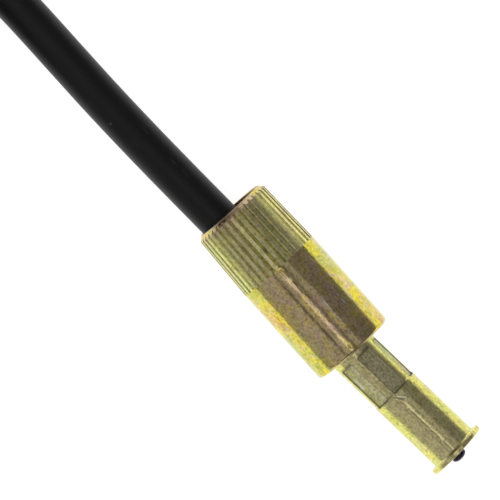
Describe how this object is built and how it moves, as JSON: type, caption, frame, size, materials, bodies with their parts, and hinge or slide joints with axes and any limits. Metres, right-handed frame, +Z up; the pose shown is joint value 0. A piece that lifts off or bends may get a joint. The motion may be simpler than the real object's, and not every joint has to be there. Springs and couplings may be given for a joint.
{
  "type": "flexible drive cable",
  "caption": "Speedometer-type flexible rotary drive cable: loose knurled coupling nut, crimped flanged ferrule with core tip, black sheathed cable in a tied coil, and gearbox fitting.",
  "frame": {"origin": "on the bench, under the middle of the instrument end (coupling nut, ferrule and core tip)", "axes": "+X along the instrument ferrule towards its flange and core tip, +Y to the left of that, +Z up from the bench"},
  "size_m": [0.1805, 0.0891, 0.0192],
  "materials": {
    "yellow_zinc": "yellow chromate zinc plate, satin",
    "steel": "drawn",
    "black_steel": "blackened, oily",
    "brass": "turned",
    "nylon": "moulded",
    "rubber": "moulded",
    "sheath": "extruded, satin"
  },
  "bodies": {
    "casing": {"ferrule": "yellow_zinc", "core_bush": "brass", "sheath_end": "sheath", "conduit_end": "steel", "liner_end": "nylon", "cable_sheath": "sheath", "cable_coil": "sheath", "cable_tail": "sheath", "coil_tie_1": "nylon", "coil_tie_2": "nylon", "gear_ferrule": "yellow_zinc", "gear_o_ring": "rubber", "gear_core_bush": "brass", "gear_sheath_end": "sheath", "gear_conduit_end": "steel", "gear_liner_end": "nylon"},
    "nut_carrier": {"nut_washer": "steel"},
    "nut_swivel": {"nut_seal": "rubber"},
    "nut": {"coupling_nut": "yellow_zinc"},
    "core_thrust": {"core_washer": "nylon"},
    "core": {"core_tip": "black_steel", "core_collar": "steel", "core_stub": "steel"},
    "gear_nut_carrier": {"gear_nut_washer": "steel"},
    "gear_nut": {"gear_coupling_nut": "yellow_zinc"},
    "gear_core_thrust": {"gear_core_washer": "nylon"},
    "gear_core": {"gear_drive_tip": "black_steel", "gear_core_collar": "steel", "gear_core_stub": "steel"}
  },
  "joints": [
    {"name": "nut_slide", "type": "slide", "parent": "casing", "child": "nut_carrier", "axis": [0.9993, -0.0361, 0], "range_m": [0, 0.02979]},
    {"name": "nut_align", "type": "hinge", "parent": "nut_carrier", "child": "nut_swivel", "pos_m": [-0.0066, -0.00026, 0.0075], "axis": [0, 0, 1], "range_deg": [0, 4.42]},
    {"name": "nut_spin", "type": "hinge", "parent": "nut_swivel", "child": "nut", "pos_m": [0.00292, -0.001, 0.0075], "axis": [0.997, -0.0771, 0], "continuous": true},
    {"name": "core_float", "type": "slide", "parent": "casing", "child": "core_thrust", "axis": [1, 0, 0], "range_m": [-0.0015, 0.0015]},
    {"name": "core_spin", "type": "hinge", "parent": "core_thrust", "child": "core", "pos_m": [0.02732, -0.00169, 0.0075], "axis": [1, 0, 0], "continuous": true},
    {"name": "gear_nut_slide", "type": "slide", "parent": "casing", "child": "gear_nut_carrier", "axis": [1, 0, 0], "range_m": [-0.012, 0]},
    {"name": "gear_nut_spin", "type": "hinge", "parent": "gear_nut_carrier", "child": "gear_nut", "pos_m": [-0.03668, -0.07324, 0.0075], "axis": [1, 0, 0], "continuous": true},
    {"name": "gear_core_float", "type": "slide", "parent": "casing", "child": "gear_core_thrust", "axis": [1, 0, 0], "range_m": [-0.0015, 0.0015]},
    {"name": "gear_core_spin", "type": "hinge", "parent": "gear_core_thrust", "child": "gear_core", "pos_m": [-0.03668, -0.07359, 0.0075], "axis": [1, 0, 0], "continuous": true}
  ],
  "couplings": [
    {"joint": "nut_align", "follows": "nut_slide", "rad_per_m": 2.5895},
    {"joint": "gear_core_float", "follows": "core_float", "ratio": -1},
    {"joint": "gear_core_spin", "follows": "core_spin", "ratio": -1}
  ]
}
